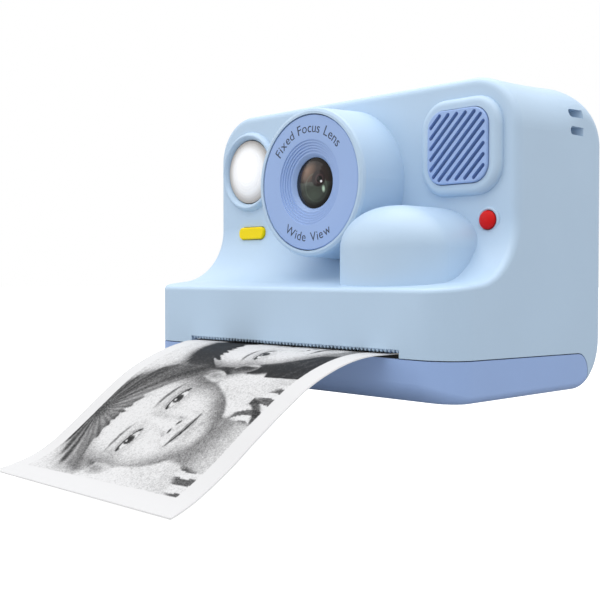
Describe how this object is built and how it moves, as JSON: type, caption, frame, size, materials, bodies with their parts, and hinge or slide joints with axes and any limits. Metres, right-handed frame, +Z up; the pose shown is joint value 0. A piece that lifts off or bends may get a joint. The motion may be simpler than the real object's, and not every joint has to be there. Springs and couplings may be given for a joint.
{
  "type": "kids instant camera",
  "caption": "Chunky rounded toy camera that prints photos on thermal paper from a front slot, with lens, flash, screen, keys and a hinged paper door.",
  "frame": {"origin": "midway across the body and 26 mm behind the chin's front, on the flat underside of the paper door that the camera stands on", "axes": "+Z up; -Y the way the lens looks; +X to the right when seen from the front"},
  "size_m": [0.089, 0.1022, 0.0769],
  "materials": {
    "light_blue_plastic": "satin",
    "blue_plastic": "satin",
    "lens_glass": "polished",
    "screen_glass": "polished",
    "black_plastic": "matt",
    "circuit_board": "gloss",
    "flash_diffuser": "frosted",
    "reflector": "mirror",
    "red_plastic": "gloss",
    "yellow_plastic": "gloss",
    "steel": "brushed",
    "aluminium": "satin",
    "battery_foil": "satin",
    "blue_rubber": "matt",
    "black_rubber": "matt",
    "gear_plastic": "satin",
    "thermal_paper": "smooth paper",
    "card_core": "card"
  },
  "bodies": {
    "housing": {"front_housing": "light_blue_plastic", "tear_bar": "light_blue_plastic", "lens_ring": "blue_plastic", "lens_glass": "lens_glass", "lens_barrel": "black_plastic", "rear_lens": "lens_glass", "sensor_board": "circuit_board", "flash_lens": "flash_diffuser", "flash_reflector": "reflector", "flash_board": "circuit_board", "speaker_grille": "blue_plastic", "speaker": "black_plastic", "button_boards": "circuit_board", "front_switches": "black_plastic", "rear_cover": "light_blue_plastic", "screen_window": "screen_glass", "lcd_module": "steel", "main_board": "circuit_board", "board_chips": "black_plastic", "rear_switches": "black_plastic", "usb_socket": "steel", "card_socket": "steel", "memory_card": "black_plastic", "battery": "battery_foil", "case_screws": "steel", "board_screws": "steel", "printer_frame": "steel", "frame_screws": "steel", "print_head": "aluminium", "head_springs": "steel", "stepper_motor": "steel", "idler_shaft": "steel", "paper_lead": "thermal_paper", "door_hinge_pins": "steel"},
    "shutter": {"shutter_button": "red_plastic"},
    "timer": {"timer_button": "yellow_plastic"},
    "flap": {"port_flap": "blue_rubber"},
    "door": {"paper_door": "blue_plastic", "platen_bushes": "gear_plastic"},
    "platen": {"platen_roller": "black_rubber", "platen_shaft": "steel", "platen_gear": "gear_plastic"},
    "idler": {"idler_gear": "gear_plastic"},
    "rotor": {"motor_pinion": "gear_plastic"},
    "roll": {"paper_roll": "thermal_paper", "roll_core": "card_core"},
    "print": {"print_web": "thermal_paper"},
    "sheet": {"print_sheet": "thermal_paper"},
    "ok_button": {"ok_key": "blue_plastic"},
    "up_button": {"up_key": "blue_plastic"},
    "down_button": {"down_key": "blue_plastic"},
    "left_button": {"left_key": "blue_plastic"},
    "right_button": {"right_key": "blue_plastic"},
    "power_button": {"power_key": "blue_plastic"},
    "menu_button": {"menu_key": "blue_plastic"},
    "play_button": {"play_key": "blue_plastic"}
  },
  "joints": [
    {"name": "shutter_press", "type": "slide", "parent": "housing", "child": "shutter", "axis": [0, 1, 0], "range_m": [0, 0.0004], "stiffness_N_per_m": 1500},
    {"name": "timer_press", "type": "slide", "parent": "housing", "child": "timer", "axis": [0, 1, 0], "range_m": [0, 0.0004], "stiffness_N_per_m": 1500},
    {"name": "ok_press", "type": "slide", "parent": "housing", "child": "ok_button", "axis": [0, -1, 0], "range_m": [0, 0.0005], "stiffness_N_per_m": 1500},
    {"name": "up_press", "type": "slide", "parent": "housing", "child": "up_button", "axis": [0, -1, 0], "range_m": [0, 0.0005], "stiffness_N_per_m": 1500},
    {"name": "down_press", "type": "slide", "parent": "housing", "child": "down_button", "axis": [0, -1, 0], "range_m": [0, 0.0005], "stiffness_N_per_m": 1500},
    {"name": "left_press", "type": "slide", "parent": "housing", "child": "left_button", "axis": [0, -1, 0], "range_m": [0, 0.0005], "stiffness_N_per_m": 1500},
    {"name": "right_press", "type": "slide", "parent": "housing", "child": "right_button", "axis": [0, -1, 0], "range_m": [0, 0.0005], "stiffness_N_per_m": 1500},
    {"name": "power_press", "type": "slide", "parent": "housing", "child": "power_button", "axis": [0, -1, 0], "range_m": [0, 0.0005], "stiffness_N_per_m": 1500},
    {"name": "menu_press", "type": "slide", "parent": "housing", "child": "menu_button", "axis": [0, -1, 0], "range_m": [0, 0.0005], "stiffness_N_per_m": 1500},
    {"name": "play_press", "type": "slide", "parent": "housing", "child": "play_button", "axis": [0, -1, 0], "range_m": [0, 0.0005], "stiffness_N_per_m": 1500},
    {"name": "port_flap_hinge", "type": "hinge", "parent": "housing", "child": "flap", "pos_m": [-0.0439, 0.0123, 0], "axis": [0, 0, 1], "range_deg": [0, 100]},
    {"name": "paper_door_hinge", "type": "hinge", "parent": "housing", "child": "door", "pos_m": [0, 0.0169, 0.0035], "axis": [1, 0, 0], "range_deg": [0, 60]},
    {"name": "print_feed", "type": "slide", "parent": "housing", "child": "print", "axis": [0, -1, 0], "range_m": [0, 0.008]},
    {"name": "print_flex", "type": "hinge", "parent": "print", "child": "sheet", "pos_m": [0, -0.0275, 0.00865], "axis": [-1, 0, 0], "range_deg": [0, 25]},
    {"name": "platen_spin", "type": "hinge", "parent": "door", "child": "platen", "pos_m": [0, -0.019, 0.0055], "axis": [1, 0, 0], "range_deg": [-1, 153.8]},
    {"name": "idler_spin", "type": "hinge", "parent": "housing", "child": "idler", "pos_m": [0, -0.01448, 0.01334], "axis": [1, 0, 0], "range_deg": [-77.4, 1]},
    {"name": "motor_spin", "type": "hinge", "parent": "housing", "child": "rotor", "pos_m": [0, -0.00615, 0.0148], "axis": [1, 0, 0], "range_deg": [-1, 192]},
    {"name": "roll_spin", "type": "hinge", "parent": "housing", "child": "roll", "pos_m": [0, 0.0035, 0.017], "axis": [1, 0, 0], "range_deg": [-39.2, 1]}
  ],
  "couplings": [
    {"joint": "platen_spin", "follows": "print_feed", "rad_per_m": 333.33},
    {"joint": "idler_spin", "follows": "print_feed", "rad_per_m": -166.67},
    {"joint": "motor_spin", "follows": "print_feed", "rad_per_m": 416.67},
    {"joint": "roll_spin", "follows": "print_feed", "rad_per_m": -83.333}
  ]
}
